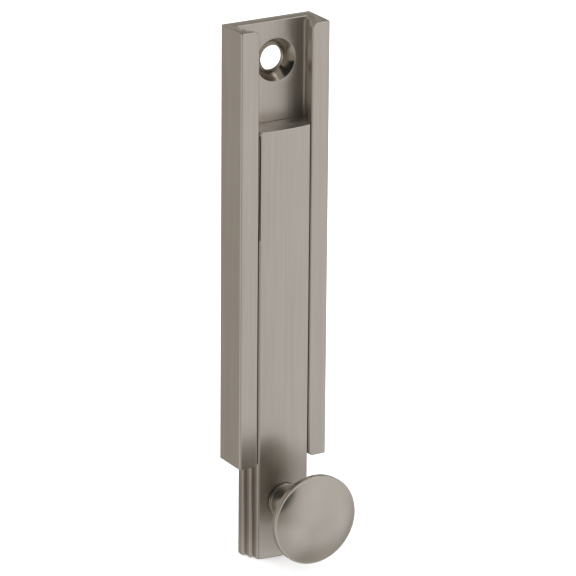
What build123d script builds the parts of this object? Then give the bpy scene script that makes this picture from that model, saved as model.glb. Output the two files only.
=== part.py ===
from build123d import *
import math
import os

# Surface bolt with concealed fixing screws, in millimetres.
# Origin: centre of the channel's flat back face. +Z runs up along the bolt, +X to the right
# as seen from the front, and the front of the bolt faces -Y.

# ---- channel (the fixed body) -------------------------------------------------------------
BODY_LENGTH = 101.6
BODY_WIDTH = 22.4
BODY_DEPTH = 9.1
BASE_THICKNESS = 3.0
SLOT_HALF_WIDTH = 8.4          # widest part of the slot, next to the base
STEP_WIDTH = 0.875             # each step narrows the slot by this on both sides
BACK_GROOVE_DEPTH = 2.5
MIDDLE_GROOVE_DEPTH = 1.9
BODY_EDGE_RADIUS = 0.45
BODY_BACK_EDGE_RADIUS = 0.3
LIP_EDGE_RADIUS = 0.4
BODY_END_CHAMFER = 0.25
SLOT_FLARE_RADIUS = 1.3        # rounding of the slot's walls into each end face
SLOT_FLARE_RISE = 0.03         # lifts the rounding, so that it meets the end face at an angle

# ---- fixing screw holes in the base -------------------------------------------------------
SCREW_HOLE_RADIUS = 2.85
COUNTERSINK_RADIUS = 4.9
COUNTERSINK_DEPTH = 1.8
SCREW_HOLE_Z = 41.7            # each hole is this far from mid length
SCREW_HOLE_OFFSET = 1.0        # the two holes are staggered about the centre line

# ---- sliding bolt -------------------------------------------------------------------------
BOLT_LENGTH = 101.1
BOLT_DROP = 22.5               # how far the bolt stands below flush in the rest pose
THROW = 25.4                   # travel each way from flush, set by the stop slot
SIDE_CLEARANCE = 0.15
BACK_CLEARANCE = 0.1
STEP_CLEARANCE = 0.12
BOLT_CROWN = 0.65              # how far the front face swells at its middle
BOLT_FRONT_RADIUS = 0.5
BOLT_STEP_RADIUS = 0.45
BOLT_END_CHAMFER = 0.25

# ---- stop pin and its slot ----------------------------------------------------------------
STOP_PIN_RADIUS = 1.5
STOP_PIN_Z = 10.0
STOP_PIN_RECESS = 0.2
STOP_PIN_REACH = 1.8           # how far the pin stands out of the base
STOP_SLOT_RADIUS = 1.65
STOP_SLOT_DEPTH = 2.1

# ---- knob, its collar and its screw -------------------------------------------------------
KNOB_ABOVE_END = 13.55         # knob axis above the bolt's lower end
KNOB_RADIUS = 10.45
KNOB_LAND = 1.2                # thickness of the head's edge
KNOB_DOME = 2.8                # height of the dome above the edge
KNOB_EDGE_RADIUS = 0.3
KNOB_UNDERSIDE_RISE = 0.8
KNOB_HEAD_HEIGHT = 12.1        # from the collar to the back of the head's edge
NECK_RADIUS = 3.85
NECK_FOOT_RADIUS = 4.0
NECK_FOOT_HEIGHT = 0.4
NECK_FOOT_FILLET = 0.14
NECK_HEAD_FILLET = 2.6
SEAT_PLANE = 9.3               # depth of the flat spot-faced seat, measured from the back face
SEAT_RADIUS = 4.2
COLLAR_RADIUS = 4.05
COLLAR_THICKNESS = 0.7
COLLAR_CHAMFER = 0.15
SCREW_RADIUS = 2.0
SCREW_CLEARANCE_RADIUS = 2.15
SCREW_HEAD_RADIUS = 3.5
SCREW_HEAD_HEIGHT = 2.2
SCREW_HEAD_FILLET = 0.6
SCREW_REACH = 7.5              # thread engaged in the knob
TAPPED_RADIUS = 2.02
TAPPED_DEPTH = 9.0
RECESS_SPAN = 4.0
RECESS_WIDTH = 0.8
RECESS_DEPTH = 1.3
COUNTERBORE_RADIUS = 4.1
COUNTERBORE_DEPTH = 3.5
WASHER_RADIUS = 3.4
WASHER_THICKNESS = 0.9
WASHER_SPLIT = 0.6

# ---- friction strip in the bolt's left edge ------------------------------------------------
STRIP_THICKNESS = 0.2
STRIP_LENGTH = 24.0
STRIP_TOP_MARGIN = 1.0         # from the strip's top to the bolt's top
STRIP_POCKET = 0.32            # depth of the pocket in the bolt's left edge
STRIP_RUB_GAP = 0.03           # the bowed middle stands this far off the lip
STRIP_END_GAP = 0.22           # the strip's ends stand this far off the lip
STRIP_FRONT = 8.85             # depth of the strip's front edge from the back face
STRIP_TANG = 1.0               # length of the bent-in tongue at the strip's lower end
STRIP_TANG_WIDTH = 0.7
STRIP_TANG_Z = 0.35            # height of the tongue's hole above the pocket's lower end
STRIP_TANG_HOLE_RADIUS = 0.45
STRIP_PLAY = 0.05

# ---- places worked out from the sizes above -----------------------------------------------
BACK_GROOVE_Y = BASE_THICKNESS + BACK_GROOVE_DEPTH
MIDDLE_GROOVE_Y = BACK_GROOVE_Y + MIDDLE_GROOVE_DEPTH
LIP_HALF_GAP = SLOT_HALF_WIDTH - 2 * STEP_WIDTH
SLOT_LEVELS = (                # half width, and the depths that it starts and ends at
    (SLOT_HALF_WIDTH, BASE_THICKNESS, BACK_GROOVE_Y),
    (SLOT_HALF_WIDTH - STEP_WIDTH, BACK_GROOVE_Y, MIDDLE_GROOVE_Y),
    (LIP_HALF_GAP, MIDDLE_GROOVE_Y, BODY_DEPTH + 1),
)
BOLT_BACK_Y = BASE_THICKNESS + BACK_CLEARANCE
BOLT_FRONT_HALF = LIP_HALF_GAP - SIDE_CLEARANCE
BOLT_BOTTOM_Z = -BODY_LENGTH / 2 - BOLT_DROP
BOLT_TOP_Z = BOLT_BOTTOM_Z + BOLT_LENGTH
BOLT_MIDDLE_Z = BOLT_BOTTOM_Z + BOLT_LENGTH / 2
KNOB_Z = BOLT_BOTTOM_Z + KNOB_ABOVE_END
COLLAR_FRONT_Y = SEAT_PLANE + COLLAR_THICKNESS
STRIP_TOP_Z = BOLT_TOP_Z - STRIP_TOP_MARGIN
STRIP_BOTTOM_Z = STRIP_TOP_Z - STRIP_LENGTH
STRIP_MIDDLE_Y = (MIDDLE_GROOVE_Y - STEP_CLEARANCE + STRIP_PLAY + STRIP_FRONT) / 2


def stepped_outline(levels):
    """Return the corner points of a stepped outline, from (half width, start, end) levels.

    The depths run forwards, towards -Y.
    """
    right = []
    for half_width, start, end in levels:
        right.append((half_width, -start))
        right.append((half_width, -end))
    left = [(-x, y) for x, y in reversed(right)]
    return right + left


def closed_face(points):
    """Return the face inside straight lines through the points."""
    return make_face(Polyline(*points, close=True))


def corners_at(face, points):
    """Return the face's corners that stand at the points (x, y)."""
    wanted = [Vector(x, y, 0) for x, y in points]
    return [v for v in face.vertices() if any((Vector(v) - w).length < 1e-4 for w in wanted)]


def along_bolt(face, bottom, length):
    """Extrude a cross-section along Z."""
    return Pos(0, 0, bottom) * extrude(face, amount=length, dir=(0, 0, 1))


def forward_cylinder(radius, start, end, x=0.0, z=0.0):
    """Return a cylinder along Y whose ends stand at the depths start and end."""
    disc = Plane(origin=(x, -start, z), x_dir=(1, 0, 0), z_dir=(0, -1, 0)) * Circle(radius)
    return extrude(disc, amount=end - start)


def forward_cone(start_radius, end_radius, start, end, x=0.0, z=0.0):
    """Return a cone along Y between the depths start and end."""
    plane = Plane(origin=(x, -start, z), x_dir=(1, 0, 0), z_dir=(0, -1, 0))
    cone = Cone(start_radius, end_radius, end - start, align=(Align.CENTER, Align.CENTER, Align.MIN))
    return plane * cone


def end_edges(solid, top):
    """Return the outer edges of the top or the bottom end face."""
    face = solid.faces().sort_by(Axis.Z)[-1 if top else 0]
    return face.outer_wire().edges()


def screw_hole(side):
    """Return the countersunk hole's cutter: side is +1 at the top and -1 at the bottom."""
    x = side * SCREW_HOLE_OFFSET
    z = side * SCREW_HOLE_Z
    hole = forward_cylinder(SCREW_HOLE_RADIUS, -1, BASE_THICKNESS + 1, x, z)
    floor = BASE_THICKNESS - COUNTERSINK_DEPTH
    sink = forward_cone(SCREW_HOLE_RADIUS, COUNTERSINK_RADIUS, floor, BASE_THICKNESS, x, z)
    above = forward_cylinder(COUNTERSINK_RADIUS, BASE_THICKNESS, BASE_THICKNESS + 1, x, z)
    return hole + sink + above


def slot_flare(side):
    """Return the cutter that rounds the slot's walls into the top (+1) or bottom (-1) end face."""
    cutters = []
    for half_width, start, end in SLOT_LEVELS:
        reach = half_width + SLOT_FLARE_RADIUS
        middle = side * (BODY_LENGTH / 2 - SLOT_FLARE_RADIUS)
        block = Pos(0, -start, middle) * Box(
            2 * reach, end - start, SLOT_FLARE_RADIUS + 1,
            align=(Align.CENTER, Align.MAX, Align.MIN if side > 0 else Align.MAX))
        for x in (reach, -reach):
            centre = middle + side * SLOT_FLARE_RISE
            block = block - forward_cylinder(SLOT_FLARE_RADIUS, start - 1, end + 1, x, centre)
        cutters.append(block)
    return cutters[0] + cutters[1] + cutters[2]


def channel_body():
    """The extruded channel: a flat base with two stepped walls, open at both ends."""
    half = BODY_WIDTH / 2
    outer = closed_face([(half, 0), (half, -BODY_DEPTH), (-half, -BODY_DEPTH), (-half, 0)])
    outer = fillet(corners_at(outer, [(half, 0), (-half, 0)]), BODY_BACK_EDGE_RADIUS)
    outer = fillet(corners_at(outer, [(half, -BODY_DEPTH), (-half, -BODY_DEPTH)]), BODY_EDGE_RADIUS)
    slot = closed_face(stepped_outline(SLOT_LEVELS))
    section = (outer - slot).face()
    lips = corners_at(section, [(LIP_HALF_GAP, -BODY_DEPTH), (-LIP_HALF_GAP, -BODY_DEPTH)])
    section = fillet(lips, LIP_EDGE_RADIUS)
    body = along_bolt(section, -BODY_LENGTH / 2, BODY_LENGTH)
    for top in (True, False):
        body = chamfer(end_edges(body, top), BODY_END_CHAMFER)
    for side in (1, -1):
        body = body - screw_hole(side) - slot_flare(side)
    return body - forward_cylinder(STOP_PIN_RADIUS, -1, BASE_THICKNESS + 1, 0, STOP_PIN_Z)


def bolt_section():
    """The bolt's cross-section: three steps that fit the slot, with a crowned front."""
    back_half = SLOT_HALF_WIDTH - SIDE_CLEARANCE
    middle_half = back_half - STEP_WIDTH
    back_front = BACK_GROOVE_Y - STEP_CLEARANCE
    middle_front = MIDDLE_GROOVE_Y - STEP_CLEARANCE
    points = stepped_outline([
        (back_half, BOLT_BACK_Y, back_front),
        (middle_half, back_front, middle_front),
        (BOLT_FRONT_HALF, middle_front, BODY_DEPTH),
    ])
    front_right = (BOLT_FRONT_HALF, -BODY_DEPTH)
    front_left = (-BOLT_FRONT_HALF, -BODY_DEPTH)
    right = points[:6]
    left = points[6:]
    crown = ThreePointArc(front_right, (0, -BODY_DEPTH - BOLT_CROWN), front_left)
    back = Line(left[-1], right[0])
    section = make_face([Polyline(*right), crown, Polyline(*left), back])
    steps = [(s * w, -y) for s in (1, -1) for w, y in (
        (back_half, BOLT_BACK_Y), (back_half, back_front), (middle_half, middle_front))]
    section = fillet(corners_at(section, steps), BOLT_STEP_RADIUS)
    return fillet(corners_at(section, [front_right, front_left]), BOLT_FRONT_RADIUS)


def stop_slot():
    """The cutter for the slot in the bolt's back that the stop pin runs in."""
    middle = BOLT_MIDDLE_Z + STOP_PIN_Z
    plane = Plane(origin=(0, -BOLT_BACK_Y + 1, middle), x_dir=(0, 0, 1), z_dir=(0, -1, 0))
    outline = plane * SlotCenterToCenter(2 * THROW, 2 * STOP_SLOT_RADIUS)
    return extrude(outline, amount=STOP_SLOT_DEPTH + 1)


def strip_pocket():
    """The cutter for the friction strip's pocket and for the hole that holds its tongue."""
    step = MIDDLE_GROOVE_Y - STEP_CLEARANCE
    pocket = Pos(-BOLT_FRONT_HALF - 1, -step, STRIP_BOTTOM_Z - STRIP_PLAY) * Box(
        1 + STRIP_POCKET, BODY_DEPTH + 1 - step, STRIP_LENGTH + 2 * STRIP_PLAY,
        align=(Align.MIN, Align.MAX, Align.MIN))
    tongue_z = STRIP_BOTTOM_Z + STRIP_TANG_Z
    mouth = Plane(origin=(-BOLT_FRONT_HALF, -STRIP_MIDDLE_Y, tongue_z), z_dir=(1, 0, 0))
    hole = extrude(mouth * Circle(STRIP_TANG_HOLE_RADIUS), amount=STRIP_POCKET + STRIP_TANG)
    return pocket + hole


def sliding_bolt():
    """The stepped bolt bar, with its seat for the knob, the screw's counterbore and the stop slot."""
    bolt = along_bolt(bolt_section(), BOLT_BOTTOM_Z, BOLT_LENGTH)
    for top in (True, False):
        bolt = chamfer(end_edges(bolt, top), BOLT_END_CHAMFER)
    bolt = bolt - stop_slot() - strip_pocket()
    bolt = bolt - forward_cylinder(SEAT_RADIUS, SEAT_PLANE, BODY_DEPTH + 2, 0, KNOB_Z)
    bolt = bolt - forward_cylinder(SCREW_CLEARANCE_RADIUS, 0, BODY_DEPTH + 2, 0, KNOB_Z)
    counterbore_floor = BOLT_BACK_Y + COUNTERBORE_DEPTH
    return bolt - forward_cylinder(COUNTERBORE_RADIUS, 0, counterbore_floor, 0, KNOB_Z)


def turned(profile):
    """Turn a profile, drawn as (radius, height forwards), about the knob's axis."""
    plane = Plane(origin=(0, -COLLAR_FRONT_Y, KNOB_Z), x_dir=(1, 0, 0), z_dir=(0, 0, -1))
    axis = Axis((0, -COLLAR_FRONT_Y, KNOB_Z), (0, 1, 0))
    return revolve(plane * profile, axis=axis)


def knob():
    """The turned mushroom knob: a waisted neck, a thin straight edge and a low dome."""
    rim_back = KNOB_HEAD_HEIGHT
    rim_front = rim_back + KNOB_LAND
    top = rim_front + KNOB_DOME
    under = rim_back - KNOB_UNDERSIDE_RISE
    outline = Polyline(
        (0, 0), (NECK_FOOT_RADIUS, 0), (NECK_FOOT_RADIUS, NECK_FOOT_HEIGHT),
        (NECK_RADIUS, NECK_FOOT_HEIGHT), (NECK_RADIUS, under), (KNOB_RADIUS, rim_back),
        (KNOB_RADIUS, rim_front))
    dome_radius = (KNOB_RADIUS ** 2 + KNOB_DOME ** 2) / (2 * KNOB_DOME)
    halfway = KNOB_RADIUS / 2
    halfway_height = top - dome_radius + math.sqrt(dome_radius ** 2 - halfway ** 2)
    dome = ThreePointArc((KNOB_RADIUS, rim_front), (halfway, halfway_height), (0, top))
    profile = make_face([outline, dome, Line((0, top), (0, 0))])
    profile = fillet(corners_at(profile, [(NECK_RADIUS, NECK_FOOT_HEIGHT)]), NECK_FOOT_FILLET)
    profile = fillet(corners_at(profile, [(NECK_RADIUS, under)]), NECK_HEAD_FILLET)
    edges = [(KNOB_RADIUS, rim_back), (KNOB_RADIUS, rim_front)]
    profile = fillet(corners_at(profile, edges), KNOB_EDGE_RADIUS)
    tapped = forward_cylinder(TAPPED_RADIUS, 0, COLLAR_FRONT_Y + TAPPED_DEPTH, 0, KNOB_Z)
    return turned(profile) - tapped


def knob_collar():
    """The flat ring between the bolt and the knob's neck."""
    ring = forward_cylinder(COLLAR_RADIUS, SEAT_PLANE, COLLAR_FRONT_Y, 0, KNOB_Z)
    front = ring.edges().sort_by(Axis.Y)[0]
    ring = chamfer(front, COLLAR_CHAMFER)
    return ring - forward_cylinder(SCREW_CLEARANCE_RADIUS, 0, COLLAR_FRONT_Y + 1, 0, KNOB_Z)


def knob_screw():
    """The pan-head screw that holds the knob, put in from the bolt's back."""
    washer_back = BOLT_BACK_Y + COUNTERBORE_DEPTH - WASHER_THICKNESS
    head_back = washer_back - SCREW_HEAD_HEIGHT
    head = forward_cylinder(SCREW_HEAD_RADIUS, head_back, washer_back, 0, KNOB_Z)
    head = fillet(head.edges().sort_by(Axis.Y)[-1], SCREW_HEAD_FILLET)
    shank = forward_cylinder(SCREW_RADIUS, washer_back, COLLAR_FRONT_Y + SCREW_REACH, 0, KNOB_Z)
    screw = head + shank
    for angle in (0, 90):
        arm = Box(RECESS_SPAN, 2 * RECESS_DEPTH, RECESS_WIDTH)
        screw = screw - Pos(0, -head_back, KNOB_Z) * Rot(0, angle + 45, 0) * arm
    return screw


def knob_lock_washer():
    """The split spring washer under the screw's head."""
    floor = BOLT_BACK_Y + COUNTERBORE_DEPTH
    ring = forward_cylinder(WASHER_RADIUS, floor - WASHER_THICKNESS, floor, 0, KNOB_Z)
    ring = ring - forward_cylinder(SCREW_CLEARANCE_RADIUS, 0, floor + 1, 0, KNOB_Z)
    split = Box(2 * WASHER_RADIUS, 4 * WASHER_THICKNESS, WASHER_SPLIT,
                align=(Align.MIN, Align.CENTER, Align.CENTER))
    return ring - Pos(0, -floor, KNOB_Z) * Rot(0, 30, 0) * split


def friction_strip():
    """The bowed spring strip that stands in the bolt's left edge and rubs on the lip."""
    ends = -LIP_HALF_GAP + STRIP_END_GAP
    middle = -LIP_HALF_GAP + STRIP_RUB_GAP
    middle_z = (STRIP_BOTTOM_Z + STRIP_TOP_Z) / 2
    inner = ends + STRIP_THICKNESS
    outer_bow = ThreePointArc((ends, STRIP_BOTTOM_Z), (middle, middle_z), (ends, STRIP_TOP_Z))
    top = Line((ends, STRIP_TOP_Z), (inner, STRIP_TOP_Z))
    inner_bow = ThreePointArc(
        (inner, STRIP_TOP_Z), (middle + STRIP_THICKNESS, middle_z), (inner, STRIP_BOTTOM_Z))
    bottom = Line((inner, STRIP_BOTTOM_Z), (ends, STRIP_BOTTOM_Z))
    back = MIDDLE_GROOVE_Y - STEP_CLEARANCE + STRIP_PLAY
    side_view = Plane(origin=(0, -back, 0), x_dir=(1, 0, 0), z_dir=(0, -1, 0))
    bow = make_face([outer_bow, top, inner_bow, bottom])
    strip = extrude(side_view * bow, amount=STRIP_FRONT - back)
    tongue_end = -BOLT_FRONT_HALF + STRIP_POCKET + STRIP_TANG - STRIP_PLAY
    tongue = Box(tongue_end - inner + STRIP_THICKNESS / 2, STRIP_TANG_WIDTH, STRIP_THICKNESS,
                 align=(Align.MAX, Align.CENTER, Align.CENTER))
    return strip + Pos(tongue_end, -STRIP_MIDDLE_Y, STRIP_BOTTOM_Z + STRIP_TANG_Z) * tongue


def stop_pin():
    """The dowel in the base that the bolt's slot runs along."""
    tip = BASE_THICKNESS + STOP_PIN_REACH
    return forward_cylinder(STOP_PIN_RADIUS, STOP_PIN_RECESS, tip, 0, STOP_PIN_Z)


PARTS = {
    "channel_body": channel_body,
    "sliding_bolt": sliding_bolt,
    "knob": knob,
    "knob_collar": knob_collar,
    "knob_screw": knob_screw,
    "knob_lock_washer": knob_lock_washer,
    "friction_strip": friction_strip,
    "stop_pin": stop_pin,
}

os.makedirs("parts", exist_ok=True)
for name, build in PARTS.items():
    export_step(build(), f"parts/{name}.step")
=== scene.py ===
"""A surface bolt with concealed fixing screws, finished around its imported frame.

The channel, the sliding bolt, the knob and the small fittings are each built by a class as surfaces
worked out on grids, in millimetres, and put into meshes in metres. Every piece rides on the body of
the part that it stands for.
"""

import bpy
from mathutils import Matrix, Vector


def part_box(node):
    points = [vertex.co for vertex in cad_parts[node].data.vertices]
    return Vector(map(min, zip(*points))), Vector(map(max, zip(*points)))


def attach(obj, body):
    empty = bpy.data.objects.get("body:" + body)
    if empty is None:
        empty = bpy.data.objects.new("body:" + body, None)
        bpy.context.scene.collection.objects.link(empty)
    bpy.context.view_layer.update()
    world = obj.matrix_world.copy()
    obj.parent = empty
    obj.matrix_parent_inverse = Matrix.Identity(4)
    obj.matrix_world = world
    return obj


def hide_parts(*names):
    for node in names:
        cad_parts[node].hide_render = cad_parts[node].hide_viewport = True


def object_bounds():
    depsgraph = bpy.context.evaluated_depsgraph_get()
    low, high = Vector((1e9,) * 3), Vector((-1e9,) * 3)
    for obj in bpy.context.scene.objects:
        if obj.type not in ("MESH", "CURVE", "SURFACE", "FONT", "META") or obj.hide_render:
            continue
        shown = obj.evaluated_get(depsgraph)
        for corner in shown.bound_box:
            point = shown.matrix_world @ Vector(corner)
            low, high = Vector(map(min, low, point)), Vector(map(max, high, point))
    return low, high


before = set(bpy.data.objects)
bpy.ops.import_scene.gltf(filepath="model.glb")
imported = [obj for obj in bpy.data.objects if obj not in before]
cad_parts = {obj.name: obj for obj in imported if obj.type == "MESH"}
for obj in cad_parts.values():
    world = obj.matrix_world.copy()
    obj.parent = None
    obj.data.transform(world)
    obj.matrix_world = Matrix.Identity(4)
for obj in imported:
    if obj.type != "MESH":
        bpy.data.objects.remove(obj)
CAD_BOX = [list(corner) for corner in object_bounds()]

import logging
import math
from dataclasses import dataclass
from enum import Enum
from typing import Callable, Sequence

import bmesh
import bpy
import numpy as np
from mathutils import Matrix, Vector

MM = 0.001
LOG = logging.getLogger("surface_bolt")

Colour = tuple[float, float, float]


class Body(Enum):
    """The two bodies of the bolt."""

    CHANNEL = "channel"
    BOLT = "bolt"


class Slot(Enum):
    """The record's material slots."""

    SATIN_NICKEL = "satin_nickel"
    TURNED_NICKEL = "turned_nickel"
    ZINC_STEEL = "zinc_steel"
    SPRING_BRONZE = "spring_bronze"
    STEEL_PIN = "steel_pin"


# ---- shader expressions ---------------------------------------------------------------------


class Signal:
    """A shader socket that Python expressions can work on."""

    def __init__(self, graph: "Graph", socket: bpy.types.NodeSocket) -> None:
        """Wrap one output socket of a graph."""
        self.graph = graph
        self.socket = socket

    def _math(self, operation: str, *values: "Signal | float") -> "Signal":
        """Add a Math node to the graph."""
        return self.graph.node("ShaderNodeMath", {"operation": operation}, dict(enumerate(values)))

    def __add__(self, other: "Signal | float") -> "Signal":
        """Return self + other."""
        return self._math("ADD", self, other)

    __radd__ = __add__

    def __sub__(self, other: "Signal | float") -> "Signal":
        """Return self - other."""
        return self._math("SUBTRACT", self, other)

    def __rsub__(self, other: float) -> "Signal":
        """Return other - self."""
        return self._math("SUBTRACT", other, self)

    def __mul__(self, other: "Signal | float") -> "Signal":
        """Return self * other."""
        return self._math("MULTIPLY", self, other)

    __rmul__ = __mul__

    def __abs__(self) -> "Signal":
        """Return the size of self without its sign."""
        return self._math("ABSOLUTE", self)

    def __pow__(self, power: float) -> "Signal":
        """Return self raised to a power."""
        return self._math("POWER", self, power)

    def sine(self) -> "Signal":
        """Return the sine of self."""
        return self._math("SINE", self)

    def step(self, low: float, high: float) -> "Signal":
        """Return a smooth step from 0 where self is low to 1 where it is high."""
        return self.graph.node(
            "ShaderNodeMapRange",
            {"interpolation_type": "SMOOTHSTEP", "clamp": True},
            {"Value": self, "From Min": low, "From Max": high, "To Min": 0.0, "To Max": 1.0},
        )


class Graph:
    """A node tree that is written as expressions."""

    def __init__(self, tree: bpy.types.NodeTree) -> None:
        """Start with an empty tree."""
        self.tree = tree
        tree.nodes.clear()

    def node(
        self, kind: str, settings: dict[str, object] | None = None,
        inputs: dict[int | str, object] | None = None, output: int | str = 0,
    ) -> Signal:
        """Add a node of any type.

        Args:
            kind: The node's type name.
            settings: Its own properties, which are set first.
            inputs: Values or signals for its sockets, by name or number.
            output: The output socket to return.

        Returns:
            The chosen output as a signal.
        """
        made = self.tree.nodes.new(kind)
        for name, value in (settings or {}).items():
            setattr(made, name, value)
        for key, value in (inputs or {}).items():
            if isinstance(value, Signal):
                self.tree.links.new(value.socket, made.inputs[key])
            else:
                made.inputs[key].default_value = value
        return Signal(self, made.outputs[output]) if len(made.outputs) else Signal(self, None)

    def position(self) -> Signal:
        """Return the object coordinates."""
        return self.node("ShaderNodeTexCoord", output="Object")

    def facing(self) -> tuple[Signal, Signal, Signal]:
        """Return the surface normal's X, Y and Z."""
        return self.split(self.node("ShaderNodeNewGeometry", output="Normal"))

    def split(self, vector: Signal) -> tuple[Signal, Signal, Signal]:
        """Return a vector's three parts."""
        first = self.node("ShaderNodeSeparateXYZ", inputs={0: vector})
        outputs = first.socket.node.outputs
        return tuple(Signal(self, outputs[i]) for i in range(3))

    def noise(self, vector: Signal, scale: Sequence[float], detail: float = 2.0) -> Signal:
        """Return noise between 0 and 1 whose grain is stretched by a scale along each axis."""
        placed = self.node("ShaderNodeMapping", {"vector_type": "POINT"}, {0: vector, "Scale": scale})
        return self.node(
            "ShaderNodeTexNoise", {"noise_dimensions": "3D"},
            {"Vector": placed, "Scale": 1.0, "Detail": detail, "Roughness": 0.6},
        )

    def mix_number(self, amount: Signal, a: Signal | float, b: Signal | float) -> Signal:
        """Blend two numbers."""
        return self.node("ShaderNodeMix", {"data_type": "FLOAT"}, {0: amount, 2: a, 3: b}, 0)

    def mix_colour(self, amount: Signal, a: Signal | Colour, b: Signal | Colour) -> Signal:
        """Blend two colours."""
        a = a if isinstance(a, Signal) else (*a, 1.0)
        b = b if isinstance(b, Signal) else (*b, 1.0)
        return self.node("ShaderNodeMix", {"data_type": "RGBA"}, {0: amount, 6: a, 7: b}, 2)

    def bump(self, height: Signal, depth: float) -> Signal:
        """Return a normal that follows a height, whose full range is a depth in metres."""
        return self.node(
            "ShaderNodeBump", inputs={"Strength": 1.0, "Distance": depth, "Height": height}, output=0)

    def metal(self, colour: Signal, roughness: Signal, normal: Signal, anisotropy: float = 0.0) -> None:
        """Finish the tree with a metal surface."""
        surface = self.node("ShaderNodeBsdfPrincipled", inputs={
            "Base Color": colour, "Roughness": roughness, "Normal": normal,
            "Metallic": 1.0, "Anisotropic": anisotropy,
        })
        self.node("ShaderNodeOutputMaterial", inputs={0: surface})


# ---- finishes -------------------------------------------------------------------------------


@dataclass(frozen=True)
class BrushedNickel:
    """Satin nickel plate, brushed along Z, with cut ends that are brushed across.

    Where a height is given, shade is painted into the plate round it. This painted shade stands in for the
    knob's shadow and reflection on the bolt's front.
    """

    name: str = "brushed_satin_nickel"
    # painted shade round the knob: its height, the radius where it is full, the radius where it has faded,
    # its strength and its colour
    painted_shade_z: float | None = None
    painted_shade_core: float = 0.008
    painted_shade_reach: float = 0.0155
    painted_shade_amount: float = 0.28
    painted_shade_colour: Colour = (0.06, 0.04, 0.015)
    light: Colour = (0.60, 0.565, 0.52)
    dark: Colour = (0.50, 0.465, 0.425)
    roughness: float = 0.33
    streak_roughness: float = 0.10
    cloud_roughness: float = 0.05
    streak_depth: float = 0.0000035
    fine: float = 5200.0
    coarse: float = 1500.0
    along: float = 55.0
    cloud: float = 70.0
    anisotropy: float = 0.55
    sink_x: float = 0.001
    sink_z: float = 0.0417
    sink_radius: float = 0.0050
    sink_front: float = -0.00302
    sink_back: float = -0.00003
    sink_roughness: float = 0.17
    sink_rings: float = 4200.0
    sink_blend: float = 0.00001
    # a darker, warmer colour inside the two countersinks
    sink_colour: Colour = (0.47, 0.435, 0.38)

    def turned_marks(self, graph: Graph, place: Signal) -> tuple[Signal, Signal]:
        """Return where the two countersinks are, and the rings that their cutter left.

        The holes are the same when turned half round, so x * sign(z) and |z| serve both.
        """
        x, y, z = graph.split(place)
        across = x * graph.node("ShaderNodeMath", {"operation": "SIGN"}, {0: z}) - self.sink_x
        distance = (across ** 2.0 + (abs(z) - self.sink_z) ** 2.0) ** 0.5
        blend = self.sink_blend
        inside = 1.0 - distance.step(self.sink_radius - 5 * blend, self.sink_radius + 5 * blend)
        behind_front = y.step(self.sink_front - blend, self.sink_front + blend)
        before_back = 1.0 - y.step(self.sink_back - blend, self.sink_back + blend)
        rings = (distance * (self.sink_rings * 2.0 * math.pi)).sine() * 0.5 + 0.5
        return inside * behind_front * before_back, rings

    def material(self) -> bpy.types.Material:
        """Build the material: streaks, clouds of handling, cross-cut ends, turned countersinks and, where
        a height is given, shade painted round the knob.
        """
        made, graph = new_material(self.name)
        place = graph.position()
        fine_along = graph.noise(place, (self.fine, self.fine, self.along), 3.0)
        coarse_along = graph.noise(place, (self.coarse, self.coarse, self.along * 0.35), 2.0)
        across = graph.noise(place, (self.along * 4.0, self.fine, self.fine), 3.0)
        end = abs(graph.facing()[2]).step(0.75, 0.95)
        streak = graph.mix_number(end, fine_along * 0.6 + coarse_along * 0.4, across)
        cloud = graph.noise(place, (self.cloud,) * 3, 2.0)
        tone = streak.step(0.25, 0.75) * 0.75 + cloud * 0.25
        sunk, rings = self.turned_marks(graph, place)
        # the countersinks take the darker, warmer sink colour
        colour = graph.mix_colour(sunk, graph.mix_colour(tone, self.dark, self.light), self.sink_colour)
        # painted shade: the colour is darkened round the knob's height, standing in for the knob's shadow
        # and reflection
        if self.painted_shade_z is not None:
            x, _, z = graph.split(place)
            distance = (x ** 2.0 + (z - self.painted_shade_z) ** 2.0) ** 0.5
            painted_knob_shade = (1.0 - distance.step(self.painted_shade_core, self.painted_shade_reach)) * self.painted_shade_amount
            colour = graph.mix_colour(painted_knob_shade, colour, self.painted_shade_colour)
        rough = (streak - 0.5) * self.streak_roughness + (cloud - 0.5) * self.cloud_roughness
        rough = graph.mix_number(sunk, rough + self.roughness, self.sink_roughness)
        height = graph.mix_number(sunk, streak, rings)
        graph.metal(colour, rough, graph.bump(height, self.streak_depth), self.anisotropy)
        return made


@dataclass(frozen=True)
class TurnedNickel:
    """Satin nickel plate on a turned piece, with faint rings about the knob's axis."""

    name: str
    axis_x: float
    axis_z: float
    light: Colour = (0.57, 0.54, 0.50)
    dark: Colour = (0.50, 0.47, 0.43)
    roughness: float = 0.20
    grain_depth: float = 0.000002
    rings_per_metre: float = 3800.0

    def material(self) -> bpy.types.Material:
        """Build the material: rings by distance from the axis, broken up by fine grain."""
        made, graph = new_material(self.name)
        place = graph.position()
        x, y, z = graph.split(place)
        across = (x - self.axis_x) ** 2.0 + (z - self.axis_z) ** 2.0
        distance = across ** 0.5
        wave = (distance + y) * (self.rings_per_metre * 2.0 * math.pi)
        grain = graph.noise(place, (2600.0,) * 3, 3.0)
        rings = (wave + grain * 9.0).sine() * 0.5 + 0.5
        cloud = graph.noise(place, (110.0,) * 3, 2.0)
        tone = rings * 0.25 + grain * 0.35 + cloud * 0.40
        colour = graph.mix_colour(tone.step(0.2, 0.8), self.dark, self.light)
        rough = (grain - 0.5) * 0.10 + (cloud - 0.5) * 0.08 + self.roughness
        height = rings * 0.4 + grain * 0.6
        graph.metal(colour, rough, graph.bump(height, self.grain_depth))
        return made


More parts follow.
